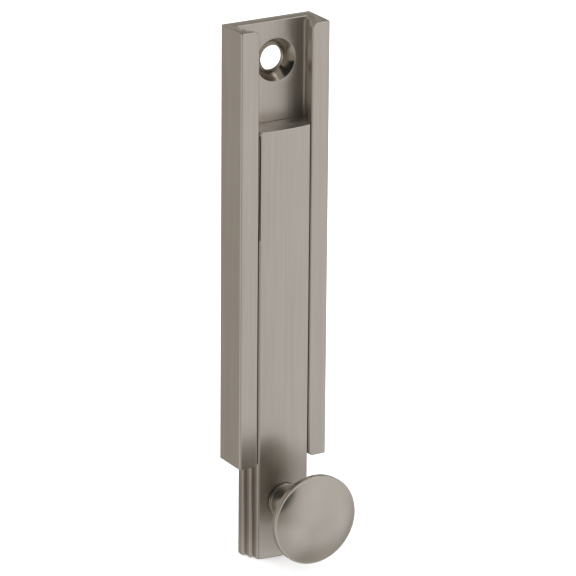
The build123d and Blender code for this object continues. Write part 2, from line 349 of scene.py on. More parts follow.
@dataclass(frozen=True)
class GrainedMetal:
    """A plain metal with fine grain and slow patches of tone, for the small fittings."""

    name: str
    light: Colour
    dark: Colour
    roughness: float
    grain: Sequence[float]
    grain_depth: float = 0.000002
    patch: float = 400.0

    def material(self) -> bpy.types.Material:
        """Build the material."""
        made, graph = new_material(self.name)
        place = graph.position()
        grain = graph.noise(place, tuple(self.grain), 3.0)
        patch = graph.noise(place, (self.patch,) * 3, 3.0)
        colour = graph.mix_colour((grain * 0.4 + patch * 0.6).step(0.3, 0.7), self.dark, self.light)
        rough = (grain - 0.5) * 0.12 + (patch - 0.5) * 0.15 + self.roughness
        graph.metal(colour, rough, graph.bump(grain, self.grain_depth))
        return made


@dataclass(frozen=True)
class FloorPaper:
    """The pale studio paper that the bolt stands on."""

    name: str = "studio_paper"
    light: Colour = (0.93, 0.93, 0.93)
    dark: Colour = (0.91, 0.91, 0.91)

    def material(self) -> bpy.types.Material:
        """Build the material: matt white with a very fine tooth."""
        made, graph = new_material(self.name)
        tooth = graph.noise(graph.position(), (900.0,) * 3, 2.0)
        surface = graph.node("ShaderNodeBsdfPrincipled", inputs={
            "Base Color": graph.mix_colour(tooth, self.dark, self.light),
            "Roughness": 0.9, "Specular IOR Level": 0.1,
        })
        graph.node("ShaderNodeOutputMaterial", inputs={0: surface})
        return made


def new_material(name: str) -> tuple[bpy.types.Material, Graph]:
    """Return a new material and its empty graph."""
    made = bpy.data.materials.new(name)
    made.use_nodes = True
    return made, Graph(made.node_tree)


# ---- meshes ---------------------------------------------------------------------------------


def node_box(node: str) -> list[Vector]:
    """Return a CAD node's lowest and highest corners in millimetres."""
    return [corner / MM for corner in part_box(node)]


class Draft:
    """The points and faces of one piece in millimetres, gathered as whole arrays."""

    def __init__(self) -> None:
        """Start empty."""
        self._points: list[np.ndarray] = []
        self._faces: list[list[int]] = []
        self._count = 0

    def points(self, places: np.ndarray) -> np.ndarray:
        """Add points of any grid shape (..., 3) and return their numbers in that shape."""
        flat = places.reshape(-1, 3)
        numbers = np.arange(self._count, self._count + len(flat)).reshape(places.shape[:-1])
        self._points.append(flat)
        self._count += len(flat)
        return numbers

    def skin(self, numbers: np.ndarray, closed: bool = True, keep: np.ndarray | None = None) -> None:
        """Join the neighbours of a grid of numbers with four-sided faces.

        Args:
            numbers: Point numbers, one row for each ring.
            closed: Whether each ring's last point joins its first.
            keep: Which cells to fill, or all of them.
        """
        across = np.roll(numbers, -1, axis=1) if closed else numbers[:, 1:]
        here = numbers if closed else numbers[:, :-1]
        cells = np.stack([here[:-1], across[:-1], across[1:], here[1:]], axis=-1)
        if keep is not None:
            cells = cells[keep]
        self._faces.extend(cells.reshape(-1, 4).tolist())

    def cap(self, ring: np.ndarray) -> None:
        """Close a ring with one face."""
        self._faces.append(ring.tolist())

    def rod(self, grid: np.ndarray) -> None:
        """Skin a section that is carried along a line, and close both of its ends."""
        numbers = self.points(grid)
        self.skin(numbers)
        self.cap(numbers[0])
        self.cap(numbers[-1])

    def piece(self, name: str, crease: float = 30.0) -> bpy.types.Object:
        """Put the draft into a mesh object.

        Args:
            name: The piece's name.
            crease: Edges that turn by more than this many degrees stay sharp.

        Returns:
            The object, at the origin, in metres.
        """
        mesh = bpy.data.meshes.new(name)
        mesh.from_pydata(np.concatenate(self._points) * MM, [], self._faces)
        joined = bmesh.new()
        joined.from_mesh(mesh)
        bmesh.ops.remove_doubles(joined, verts=joined.verts, dist=2e-7)
        bmesh.ops.dissolve_degenerate(joined, edges=joined.edges, dist=1e-8)
        bmesh.ops.recalc_face_normals(joined, faces=joined.faces)
        joined.to_mesh(mesh)
        joined.free()
        mesh.polygons.foreach_set("use_smooth", np.ones(len(mesh.polygons), bool))
        mesh.set_sharp_from_angle(angle=math.radians(crease))
        made = bpy.data.objects.new(name, mesh)
        bpy.context.scene.collection.objects.link(made)
        return made


def dress(
    piece: bpy.types.Object, finish: bpy.types.Material, body: Body, slot: Slot, *nodes: str
) -> None:
    """Give a piece its finish and its body, and hide the CAD nodes that it stands for. The slot is not
    used.
    """
    piece.data.materials.append(finish)
    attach(piece, body.value)
    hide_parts(*nodes)
    LOG.info("%s: %d faces on %s", piece.name, len(piece.data.polygons), body.value)


def arc(start: np.ndarray, end: np.ndarray, centre: np.ndarray, steps: int) -> np.ndarray:
    """Return points on a circle's arc about a centre, by turning evenly from start to end."""
    first, last = start - centre, end - centre
    turn = math.acos(float(np.clip(first @ last / (np.linalg.norm(first) * np.linalg.norm(last)), -1, 1)))
    part = np.linspace(0.0, 1.0, steps + 1)[:, None]
    return centre + (np.sin((1 - part) * turn) * first + np.sin(part * turn) * last) / math.sin(turn)


@dataclass(frozen=True)
class Corner:
    """One corner of an outline, in millimetres, rounded if it has a radius."""

    x: float
    y: float
    radius: float = 0.0


@dataclass
class Outline:
    """An outline of straight runs between rounded corners, with extra points where wanted.

    Guard points stand just past each rounding, so that a flat run shades flat.
    """

    corners: Sequence[Corner]
    stations: dict[int, np.ndarray]
    steps: int = 6
    guard: float = 0.05

    def trace(self) -> tuple[np.ndarray, dict[int, tuple[int, int]]]:
        """Work out the points.

        Returns:
            The points, and for each run with stations the numbers of its first and last point.
        """
        spots = np.array([(c.x, c.y) for c in self.corners])
        parts: list[np.ndarray] = []
        runs: dict[int, tuple[int, int]] = {}
        total = 0
        for number, corner in enumerate(self.corners):
            parts.append(self._rounded(spots, number, corner))
            total += len(parts[-1])
            if number in self.stations:
                parts.append(self.stations[number])
                runs[number] = (total, total + len(self.stations[number]) - 1)
                total += len(self.stations[number])
        return np.concatenate(parts), runs

    def _rounded(self, spots: np.ndarray, number: int, corner: Corner) -> np.ndarray:
        """Return one corner's points: the corner itself, or its arc with a guard at each side."""
        spot = spots[number]
        if corner.radius == 0.0:
            return spot[None]
        back = spots[number - 1] - spot
        on = spots[(number + 1) % len(spots)] - spot
        back, on = back / np.linalg.norm(back), on / np.linalg.norm(on)
        half = math.acos(float(back @ on)) / 2
        reach = corner.radius / math.tan(half)
        middle = (back + on) / np.linalg.norm(back + on) * corner.radius / math.sin(half)
        bend = arc(spot + back * reach, spot + on * reach, spot + middle, self.steps)
        before = spot + back * (reach + self.guard)
        after = spot + on * (reach + self.guard)
        return np.concatenate([before[None], bend, after[None]])


def both_halves(left: Sequence[Corner]) -> list[Corner]:
    """Return an outline from its left half: the last of the right half, the left, the others."""
    right = [Corner(-corner.x, corner.y, corner.radius) for corner in left[::-1]]
    return [right[-1], *left, *right[:-1]]


def rounded_section(low: Sequence[float], high: Sequence[float], radius: float, steps: int,
                    guard: float) -> np.ndarray:
    """Return a rounded rectangle's points, given two of its opposite corners."""
    corners = [Corner(low[0], low[1], radius), Corner(high[0], low[1], radius),
               Corner(high[0], high[1], radius), Corner(low[0], high[1], radius)]
    points, _ = Outline(corners, {}, steps, guard).trace()
    return points


def inset(ring: np.ndarray, distance: float) -> np.ndarray:
    """Move a closed anticlockwise outline inwards, each point along the mitre of its two edges."""
    edge = np.roll(ring, -1, axis=0) - ring
    edge = edge / np.linalg.norm(edge, axis=1)[:, None]
    normal = np.stack([edge[:, 1], -edge[:, 0]], axis=-1)
    before = np.roll(normal, 1, axis=0)
    lean = 1.0 + (normal * before).sum(axis=1)
    return ring - distance * (normal + before) / lean[:, None]


@dataclass(frozen=True)
class Bore:
    """A round or long hole that is sunk into a flat or crowned face along Y.

    Its rings are (radius, depth) pairs. A depth of None follows the face itself. An outline run
    names the face that it starts on, and another the face that it comes out of, if it does.
    """

    x: float
    z: float
    rings: tuple[tuple[float, float | None], ...]
    run: int
    block: float
    exit_run: int | None = None
    half_length: float = 0.0
    filled: bool = False

    def across(self, count: int = 14) -> np.ndarray:
        """Return the stations that the hole's block needs across X."""
        return self.x + np.linspace(-self.block, self.block, count + 1)

    def along(self, count: int = 14) -> np.ndarray:
        """Return the stations along Z. A long hole has extra ones beside its round ends."""
        reach = self.block + self.half_length
        if self.half_length == 0.0:
            return self.z + np.linspace(-reach, reach, count + 1)
        end = np.linspace(self.half_length, reach, 9)
        straight = np.linspace(-self.half_length, self.half_length, count + 1)[1:-1]
        return self.z + np.concatenate([-end[::-1], straight, end])


class Bar:
    """An outline carried along Z, with softened ends and holes along Y."""

    def __init__(self, rings: np.ndarray, runs: dict[int, tuple[int, int]]) -> None:
        """Take the grid of points, one ring for each level along Z, and the named runs."""
        self.rings = rings
        self.runs = runs
        self.draft = Draft()

    def build(self, bores: Sequence[Bore], face: Callable[[np.ndarray], np.ndarray]) -> Draft:
        """Skin the bar around its holes.

        Args:
            bores: The holes.
            face: The depth of the crowned face at each X, for rings whose depth is None.

        Returns:
            The draft of the whole bar.
        """
        numbers = self.draft.points(self.rings)
        keep = np.ones((len(self.rings) - 1, self.rings.shape[1]), bool)
        for bore in bores:
            outside = self._open(bore, bore.run, keep)
            self._sink(bore, numbers, outside, bore.rings, face)
            if bore.exit_run is not None:
                far = self._open(bore, bore.exit_run, keep)
                self._sink(bore, numbers, far, bore.rings[-1:], face)
        self.draft.skin(numbers, keep=keep)
        self.draft.cap(numbers[0][::-1])
        self.draft.cap(numbers[-1])
        return self.draft

    def _open(self, bore: Bore, run: int, keep: np.ndarray) -> np.ndarray:
        """Clear a hole's block of cells and return its border as (level, point) pairs."""
        first, last = self.runs[run]
        x = self.rings[len(self.rings) // 2, first:last + 1, 0]
        z = self.rings[:, first, 2]
        slack = 1e-6
        columns = first + np.flatnonzero(np.abs(x - bore.x) <= bore.block + slack)
        rows = np.flatnonzero(np.abs(z - bore.z) <= bore.block + bore.half_length + slack)
        left, right, low, high = columns[0], columns[-1], rows[0], rows[-1]
        keep[low:high, left:right] = False
        across, up = np.arange(left, right), np.arange(low, high)
        return np.concatenate([
            np.stack([np.full_like(across, low), across], -1),
            np.stack([up, np.full_like(up, right)], -1),
            np.stack([np.full_like(across, high), across[::-1] + 1], -1),
            np.stack([up[::-1] + 1, np.full_like(up, left)], -1),
        ])

    def _sink(
        self, bore: Bore, numbers: np.ndarray, border: np.ndarray,
        rings: Sequence[tuple[float, float | None]], face: Callable[[np.ndarray], np.ndarray],
    ) -> None:
        """Join a block's border to the hole's rings.

        Each ring's point lies at the ring's radius from the nearest point of the hole's middle
        line, in the direction of the border point that it belongs to.
        """
        edge = self.rings[border[:, 0], border[:, 1]]
        middle_z = np.clip(edge[:, 2], bore.z - bore.half_length, bore.z + bore.half_length)
        out = np.stack([edge[:, 0] - bore.x, edge[:, 2] - middle_z], -1)
        out = out / np.linalg.norm(out, axis=1)[:, None]
        grid = [numbers[border[:, 0], border[:, 1]]]
        for radius, depth in rings:
            x = bore.x + radius * out[:, 0]
            y = face(x) if depth is None else np.full_like(x, -depth)
            grid.append(self.draft.points(np.stack([x, y, middle_z + radius * out[:, 1]], -1)))
        self.draft.skin(np.stack(grid))
        if bore.filled:
            self.draft.cap(grid[-1])


def softened_levels(
    low: float, high: float, soft: float, inner: np.ndarray, guard: float = 0.06,
) -> tuple[np.ndarray, np.ndarray]:
    """Return the levels along Z and how far the outline is drawn in at each one.

    Each end is a quarter circle: drawn in by soft * (1 - sin a) at a height of soft * (1 - cos a).
    """
    angle = np.linspace(0.0, math.pi / 2, 5)
    drawn = soft * (1.0 - np.sin(angle))
    rise = soft * (1.0 - np.cos(angle))
    middle = np.unique(np.round(np.concatenate([[low + soft + guard, high - soft - guard], inner]), 6))
    levels = np.concatenate([low + rise, middle, high - rise[::-1]])
    insets = np.concatenate([drawn, np.zeros(len(middle)), drawn[::-1]])
    return levels, insets


def lathe(
    profile: np.ndarray, x: float, z: float, around: int = 160,
    lift: Callable[[np.ndarray, np.ndarray], np.ndarray] | None = None,
) -> np.ndarray:
    """Turn a profile about an axis along Y.

    Args:
        profile: (radius, depth) pairs, where a depth runs towards -Y.
        x: The axis's X.
        z: The axis's Z.
        around: Points in each ring.
        lift: What to add to the depth at each (u, v) across the axis.

    Returns:
        A grid of points, one ring for each pair: x + r cos a, -depth, z + r sin a.
    """
    angle = np.linspace(0.0, 2 * math.pi, around, endpoint=False)
    u = profile[:, :1] * np.cos(angle)
    v = profile[:, :1] * np.sin(angle)
    depth = np.broadcast_to(profile[:, 1:], u.shape)
    if lift is not None:
        depth = depth + lift(u, v)
    return np.stack([x + u, -depth, z + v], axis=-1)


def turned_piece(name: str, profile: np.ndarray, x: float, z: float) -> bpy.types.Object:
    """Turn a profile whose two ends are on the axis, or meet, into a closed piece."""
    draft = Draft()
    draft.skin(draft.points(lathe(profile, x, z)))
    return draft.piece(name)


# ---- the object's pieces ----------------------------------------------------------------------


@dataclass
class SlotSteps:
    """The stepped slot that the channel has and the bolt fits, in millimetres."""

    half_width: float = 8.4
    step: float = 0.875
    base: float = 3.0
    back_groove: float = 5.5
    middle_groove: float = 7.4
    side_clearance: float = 0.15
    back_clearance: float = 0.1
    step_clearance: float = 0.12

    def lip(self) -> float:
        """Return half the width between the channel's lips."""
        return self.half_width - 2 * self.step


@dataclass
class Channel:
    """The extruded channel, with its screw holes and the stop pin's hole."""

    slot: SlotSteps
    finish: bpy.types.Material
    edge_radius: float = 0.45
    back_edge_radius: float = 0.3
    lip_radius: float = 0.4
    inner_radius: float = 0.25
    root_radius: float = 0.6
    end_softness: float = 0.22
    flare_radius: float = 1.3
    flare_gap: float = 0.08
    screw_x: float = 1.0
    screw_z: float = 41.7
    screw_radius: float = 2.85
    sink_radius: float = 4.9
    sink_depth: float = 1.8
    pin_radius: float = 1.5
    pin_z: float = 10.0

    def bores(self, front: int, back: int) -> list[Bore]:
        """Return the holes: two countersunk ones, staggered, and the stop pin's."""
        base = self.slot.base
        floor = base - self.sink_depth
        sunk = (
            (self.sink_radius + 0.12, base), (self.sink_radius + 0.03, base - 0.02),
            (self.sink_radius - 0.06, base - 0.09), (self.screw_radius + 0.05, floor + 0.06),
            (self.screw_radius, floor - 0.05), (self.screw_radius, 0.06),
            (self.screw_radius + 0.06, 0.0),
        )
        plain = ((self.pin_radius + 0.05, base), (self.pin_radius, base - 0.05),
                 (self.pin_radius, 0.05), (self.pin_radius + 0.05, 0.0))
        holes = [
            Bore(side * self.screw_x, side * self.screw_z, sunk, front, 5.5, exit_run=back)
            for side in (1, -1)
        ]
        return [*holes, Bore(0.0, self.pin_z, plain, front, 2.0, exit_run=back)]

    def flare(self, levels: np.ndarray, low: float, high: float) -> np.ndarray:
        """Return how far the slot's walls are rounded outwards at each level.

        Within a radius r of an end, at a distance d from it, they move by
        r - sqrt(r * r - (r - d) * (r - d)).
        """
        r = self.flare_radius
        distance = np.minimum(levels - low, high - levels)
        inside = np.clip(r - distance, 0.0, r)
        return r - np.sqrt(r**2 - inside**2)

    def build(self) -> bpy.types.Object:
        """Carry the channel's outline along Z and sink its holes."""
        low, high = node_box("channel_body")
        half, depth = high.x, -low.y
        lip, step = self.slot.lip(), self.slot.step
        base, back_groove, middle_groove = self.slot.base, self.slot.back_groove, self.slot.middle_groove
        inner = self.inner_radius
        corners = both_halves([
            Corner(-half, 0, self.back_edge_radius),
            Corner(-half, -depth, self.edge_radius),
            Corner(-lip, -depth, self.lip_radius),
            Corner(-lip, -middle_groove, inner),
            Corner(-lip - step, -middle_groove),
            Corner(-lip - step, -back_groove, inner),
            Corner(-self.slot.half_width, -back_groove),
            Corner(-self.slot.half_width, -base, self.root_radius),
        ])
        back, front = 0, 8
        bores = self.bores(front, back)
        across = np.unique(np.round(np.concatenate([b.across() for b in bores]), 6))
        stations = {
            back: np.stack([across[::-1], np.zeros_like(across)], -1),
            front: np.stack([across, np.full_like(across, -base)], -1),
        }
        ring, runs = Outline(corners, stations).trace()
        turn = np.linspace(0.0, math.pi / 2, 13)[:-1]
        flared = self.flare_radius * (1.0 - np.sin(turn))
        flared = flared[flared > self.end_softness + self.flare_gap]
        along = np.concatenate([*(b.along() for b in bores), low.z + flared, high.z - flared])
        levels, insets = softened_levels(low.z, high.z, self.end_softness, along)
        rings = carried(ring, levels, insets)
        slack, across_half = 1e-6, np.abs(ring[:, 0])
        wall = (across_half > lip - slack) & (across_half < (half + self.slot.half_width) / 2)
        wall &= ring[:, 1] < slack - base
        shift = np.sign(ring[:, 0]) * wall * self.flare(levels, low.z, high.z)[:, None]
        rings[..., 0] += shift
        draft = Bar(rings, runs).build(bores, lambda x: np.full_like(x, -base))
        piece = draft.piece("channel")
        dress(piece, self.finish, Body.CHANNEL, Slot.SATIN_NICKEL, "channel_body")
        return piece


def carried(ring: np.ndarray, levels: np.ndarray, insets: np.ndarray) -> np.ndarray:
    """Carry an anticlockwise outline along Z, drawn in by an amount at each level."""
    full = np.broadcast_to(ring, (len(levels), *ring.shape))
    unit = ring - inset(ring, 1.0)
    drawn = full - insets[:, None, None] * unit
    height = np.broadcast_to(levels[:, None, None], (len(levels), len(ring), 1))
    return np.concatenate([drawn, height], axis=-1)


@dataclass
class SlidingBolt:
    """The stepped bolt bar with its crowned front, pocket, seat, stop slot and counterbore."""

    slot: SlotSteps
    finish: bpy.types.Material
    depth: float = 9.1
    crown: float = 0.65
    crown_margin: float = 0.6
    front_radius: float = 0.5
    step_radius: float = 0.45
    end_softness: float = 0.27
    knob_above_end: float = 13.55
    seat_depth: float = 9.3
    seat_radius: float = 4.2
    counterbore_radius: float = 4.1
    counterbore_depth: float = 3.5
    stop_radius: float = 1.65
    stop_depth: float = 2.1
    stop_half_travel: float = 25.4
    stop_middle: float = -12.75
    pocket_depth: float = 0.32
    pocket_margin: float = 0.95
    pocket_length: float = 24.1

    def front(self, x: np.ndarray) -> np.ndarray:
        """Return the crowned face's Y at each X.

        The crown is a circle's arc through both front corners, so it adds
        sqrt(R * R - x * x) - (R - crown) to the depth.
        """
        half = self.slot.lip() - self.slot.side_clearance
        radius = (half**2 + self.crown**2) / (2 * self.crown)
        return -self.depth - (np.sqrt(radius**2 - np.minimum(x**2, half**2)) - (radius - self.crown))

    def outline(self, across: np.ndarray) -> tuple[np.ndarray, dict[int, tuple[int, int]]]:
        """Trace the bolt's outline, with stations for its holes on the front and the back."""
        back_half = self.slot.half_width - self.slot.side_clearance
        middle_half = back_half - self.slot.step
        front_half = middle_half - self.slot.step
        back = self.slot.base + self.slot.back_clearance
        back_front = self.slot.back_groove - self.slot.step_clearance
        middle_front = self.slot.middle_groove - self.slot.step_clearance
        soft = self.step_radius
        corners = both_halves([
            Corner(-back_half, -back, soft),
            Corner(-back_half, -back_front, soft),
            Corner(-middle_half, -back_front),
            Corner(-middle_half, -middle_front, soft),
            Corner(-front_half, -middle_front),
            Corner(-front_half, -self.depth, self.front_radius),
        ])
        reach = front_half - self.crown_margin
        crown_points = np.unique(np.round(np.concatenate([across, np.linspace(-reach, reach, 25)]), 6))
        stations = {
            0: np.stack([across[::-1], np.full_like(across, -back)], -1),
            6: np.stack([crown_points, np.full_like(crown_points, -self.depth)], -1),
        }
        ring, runs = Outline(corners, stations).trace()
        swell = self.front(ring[:, 0]) + self.depth
        foremost = ring[:, 1] < -middle_front - 1e-6
        share = np.clip((-ring[:, 1] - middle_front) / (self.depth - middle_front), 0.0, 1.0)
        ring[:, 1] += np.where(foremost, swell * share, 0.0)
        return ring, runs

    def bores(self, bottom: float) -> list[Bore]:
        """Return the holes: the knob's seat, the counterbore behind it and the stop slot."""
        back = self.slot.base + self.slot.back_clearance
        knob_z = bottom + self.knob_above_end
        seat = ((self.seat_radius, None), (self.seat_radius, self.seat_depth))
        sunk = back + self.counterbore_depth
        counterbore = (
            (self.counterbore_radius + 0.1, back), (self.counterbore_radius, back + 0.1),
            (self.counterbore_radius, sunk),
        )
        stop_floor = back + self.stop_depth
        stop = ((self.stop_radius + 0.06, back), (self.stop_radius, back + 0.06),
                (self.stop_radius, stop_floor))
        return [
            Bore(0.0, knob_z, seat, 6, 4.7, filled=True),
            Bore(0.0, knob_z, counterbore, 0, 4.7, filled=True),
            Bore(0.0, self.stop_middle, stop, 0, 2.3, half_length=self.stop_half_travel, filled=True),
        ]

    def build(self) -> bpy.types.Object:
        """Carry the outline along Z, cut the pocket and sink the holes."""
        low, high = node_box("sliding_bolt")
        bores = self.bores(low.z)
        across = np.unique(np.round(np.concatenate([b.across() for b in bores]), 6))
        ring, runs = self.outline(across)
        top = high.z - self.pocket_margin
        bottom = top - self.pocket_length
        sliver = 1e-3
        walls = np.array([bottom - sliver, bottom + sliver, top - sliver, top + sliver])
        along = np.concatenate([*(b.along(20) for b in bores), walls])
        levels, insets = softened_levels(low.z, high.z, self.end_softness, along)
        rings = carried(ring, levels, insets)
        inside = (rings[..., 2] > bottom) & (rings[..., 2] < top)
        middle_front = self.slot.middle_groove - self.slot.step_clearance
        layer = rings[..., 1] < -middle_front + 1e-6
        wall = -(self.slot.lip() - self.slot.side_clearance - self.pocket_depth)
        rings[..., 0] = np.where(inside & layer, np.maximum(rings[..., 0], wall), rings[..., 0])
        piece = Bar(rings, runs).build(bores, self.front).piece("sliding_bolt_bar")
        dress(piece, self.finish, Body.BOLT, Slot.SATIN_NICKEL, "sliding_bolt")
        return piece


@dataclass
class Knob:
    """The turned mushroom knob and the collar that it stands on."""

    x: float
    z: float
    foot: float
    finish: bpy.types.Material
    radius: float = 10.45
    land: float = 1.2
    dome: float = 2.8
    edge: float = 0.3
    head_height: float = 12.1
    underside_rise: float = 0.8
    shoulder_drop: float = 0.12
    shoulder_rise: float = 0.02
    neck: float = 3.85
    foot_radius: float = 4.0
    foot_height: float = 0.4
    foot_fillet: float = 0.14
    head_fillet: float = 2.6
    collar_radius: float = 4.05
    collar_thickness: float = 0.7
    collar_edge: float = 0.06

    def profile(self) -> np.ndarray:
        """Return the knob's (radius, depth) profile from the middle of its foot to its crown.

        The dome is a circle's arc: with D its radius, its height at r is
        sqrt(D * D - r * r) - (D - dome).
        """
        rim_back = self.head_height
        rim_front = rim_back + self.land
        under = rim_back - self.underside_rise
        corners = [
            Corner(0.0, 0.0), Corner(self.foot_radius, 0.0, 0.05),
            Corner(self.foot_radius, self.foot_height),
            Corner(self.neck, self.foot_height, self.foot_fillet),
            Corner(self.neck, under, self.head_fillet),
            Corner(self.radius, rim_back, self.edge),
            Corner(self.radius, rim_front),
        ]
        lower, _ = Outline(corners, {}, steps=12).trace()
        ball = (self.radius**2 + self.dome**2) / (2 * self.dome)
        turn = np.linspace(math.asin((self.radius - self.edge) / ball), 0.0, 40)
        r = ball * np.sin(turn)
        height = rim_front + ball * np.cos(turn) - (ball - self.dome)
        dome = np.stack([r, height], -1)
        start = np.array([self.radius, rim_front - self.shoulder_drop])
        shoulder = np.array([self.radius, float(height[0]) + self.shoulder_rise])
        part = np.linspace(0.0, 1.0, 9)[:, None]
        bend = (1 - part) ** 2 * start + 2 * part * (1 - part) * shoulder + part**2 * dome[0]
        return np.concatenate([lower[:-1], bend, dome[1:]]) + (0.0, self.foot)

    def collar_profile(self) -> np.ndarray:
        """Return the collar's (radius, depth) profile, closed through the axis."""
        back = self.foot - self.collar_thickness
        corners = [
            Corner(0.0, back), Corner(self.collar_radius, back, 0.05),
            Corner(self.collar_radius, self.foot, self.collar_edge), Corner(0.0, self.foot),
        ]
        points, _ = Outline(corners, {}, steps=5).trace()
        return points

    def build(self) -> list[bpy.types.Object]:
        """Build the knob and its collar."""
        knob = turned_piece("mushroom_knob", self.profile(), self.x, self.z)
        dress(knob, self.finish, Body.BOLT, Slot.TURNED_NICKEL, "knob")
        collar = turned_piece("knob_seat_collar", self.collar_profile(), self.x, self.z)
        dress(collar, self.finish, Body.BOLT, Slot.TURNED_NICKEL, "knob_collar")
        return [knob, collar]


@dataclass
class KnobFixing:
    """The pan-head screw in the bolt's back and the split washer under it."""

    x: float
    z: float
    head_back: float
    finish: bpy.types.Material
    head_radius: float = 3.5
    head_height: float = 2.2
    head_round: float = 0.7
    shank_radius: float = 2.0
    length: float = 14.0
    shank_bevel: float = 0.3
    recess_span: float = 4.0
    recess_width: float = 0.9
    recess_depth: float = 1.3
    recess_angle: float = math.radians(45.0)
    recess_wall: float = 0.12
    recess_slope: float = 0.6
    washer_radius: float = 3.4
    washer_bore: float = 2.15
    washer_thickness: float = 0.9
    washer_split: float = math.radians(11.0)
    washer_turn: float = math.radians(30.0)
    washer_edge: float = 0.1

    def recess(self, u: np.ndarray, v: np.ndarray) -> np.ndarray:
        """Return how deep the cross recess is at (u, v).

        Each arm is a product of two ramps, one across its width and one along its length.
        """
        c, s = math.cos(self.recess_angle), math.sin(self.recess_angle)
        along, across = np.abs(u * c + v * s), np.abs(v * c - u * s)

        def arm(a: np.ndarray, b: np.ndarray) -> np.ndarray:
            """Return one arm's depth from 0 to 1."""
            width = np.clip((self.recess_width / 2 - a) / self.recess_wall + 0.5, 0.0, 1.0)
            length = np.clip((self.recess_span / 2 - b) / self.recess_slope, 0.0, 1.0)
            return width * length

        return self.recess_depth * np.maximum(arm(along, across), arm(across, along))

    def build(self) -> list[bpy.types.Object]:
        """Build the screw and the washer."""
        back = self.head_back
        seat, tip = back + self.head_height, back + self.length
        r = np.linspace(0.0, self.head_radius - self.head_round, 46)
        turn = np.linspace(0.0, math.pi / 2, 8)[1:]
        rounded = np.stack([
            self.head_radius - self.head_round * (1 - np.sin(turn)),
            back + self.head_round * (1 - np.cos(turn))], -1)
        crown = np.stack([r, np.full_like(r, back)], -1)
        shank = np.array([
            (self.head_radius, seat), (self.shank_radius, seat),
            (self.shank_radius, tip - self.shank_bevel), (self.shank_radius - self.shank_bevel, tip),
            (0.0, tip)])
        profile = np.concatenate([crown, rounded, shank])
        face = profile[:, 1] <= back + 1e-9
        draft = Draft()
        grid = lathe(profile, self.x, self.z, 192,
                     lambda u, v: self.recess(u, v) * face[:, None])
        draft.skin(draft.points(grid))
        screw = draft.piece("knob_fixing_screw", 40.0)
        dress(screw, self.finish, Body.BOLT, Slot.ZINC_STEEL, "knob_screw")
        washer = self.washer(seat)
        dress(washer, self.finish, Body.BOLT, Slot.ZINC_STEEL, "knob_lock_washer")
        return [screw, washer]

    def washer(self, back: float) -> bpy.types.Object:
        """Carry a rounded square section round the screw, with a gap for the split."""
        section = rounded_section(
            (self.washer_bore, back), (self.washer_radius, back + self.washer_thickness),
            self.washer_edge, steps=4, guard=0.03)
        start = self.washer_turn + self.washer_split / 2
        angle = np.linspace(start, start + 2 * math.pi - self.washer_split, 121)[:, None]
        grid = np.stack([
            self.x + section[:, 0] * np.cos(angle),
            np.broadcast_to(-section[:, 1], (len(angle), len(section))),
            self.z + section[:, 0] * np.sin(angle)], -1)
        draft = Draft()
        draft.rod(grid)
        return draft.piece("split_lock_washer")


@dataclass
class FrictionStrip:
    """The bowed spring strip in the bolt's left edge."""

    finish: bpy.types.Material
    thickness: float = 0.2
    bow: float = 0.19
    edge: float = 0.06
    tongue_width: float = 0.7
    tongue_z: float = 0.35
    tongue_edge: float = 0.04

    def build(self) -> bpy.types.Object:
        """Carry a rounded section along Z.

        The section's X moves out by bow * (1 - t * t), where t runs from -1 to 1 along the strip.
        """
        low, high = node_box("friction_strip")
        ends = low.x + self.bow
        section = rounded_section(
            (ends, low.y), (ends + self.thickness, high.y), self.edge, steps=3, guard=0.02)
        t = np.linspace(-1.0, 1.0, 61)[:, None]
        middle, half = (low.z + high.z) / 2, (high.z - low.z) / 2
        across = section[:, 0] - self.bow * (1 - t**2)
        grid = np.stack([
            across, np.broadcast_to(section[:, 1], across.shape),
            np.broadcast_to(middle + half * t, across.shape)], -1)
        draft = Draft()
        draft.rod(grid)
        self._tongue(draft, ends + self.thickness / 2, high.x, (low.y + high.y) / 2, low.z + self.tongue_z)
        piece = draft.piece("side_friction_strip")
        dress(piece, self.finish, Body.BOLT, Slot.SPRING_BRONZE, "friction_strip")
        return piece

    def _tongue(self, draft: Draft, start: float, end: float, y: float, z: float) -> None:
        """Add the tongue that is bent into the bolt: a rounded section carried along X."""
        half, thin = self.tongue_width / 2, self.thickness / 2
        section = rounded_section(
            (y - half, z - thin), (y + half, z + thin), self.tongue_edge, steps=3, guard=0.01)
        x = np.array([start, end])[:, None]
        grid = np.stack([
            np.broadcast_to(x, (2, len(section))), np.broadcast_to(section[:, 0], (2, len(section))),
            np.broadcast_to(section[:, 1], (2, len(section)))], -1)
        draft.rod(grid)


@dataclass
class StopPin:
    """The dowel in the channel's base."""

    finish: bpy.types.Material
    bevel: float = 0.25

    def build(self) -> bpy.types.Object:
        """Turn a pin with bevelled ends."""
        low, high = node_box("stop_pin")
        radius = (high.x - low.x) / 2
        back, front = -high.y, -low.y
        corners = [
            Corner(0.0, back), Corner(radius - self.bevel, back), Corner(radius, back + self.bevel),
            Corner(radius, front - self.bevel), Corner(radius - self.bevel, front), Corner(0.0, front)]
        profile, _ = Outline(corners, {}).trace()
        piece = turned_piece("stop_dowel", profile, (low.x + high.x) / 2, (low.z + high.z) / 2)
        dress(piece, self.finish, Body.CHANNEL, Slot.STEEL_PIN, "stop_pin")
        return piece


# ---- studio ------------------------------------------------------------------------------------


@dataclass(frozen=True)
class Glow:
    """A soft patch of light or dark in the studio's surroundings."""

    azimuth: float
    elevation: float
    core: float
    spread: float
    strength: float

    def direction(self) -> Vector:
        """Return the unit direction of the patch, from the object. Azimuth 0 is towards -Y."""
        a, e = math.radians(self.azimuth), math.radians(self.elevation)
        return Vector((math.sin(a) * math.cos(e), -math.cos(a) * math.cos(e), math.sin(e)))


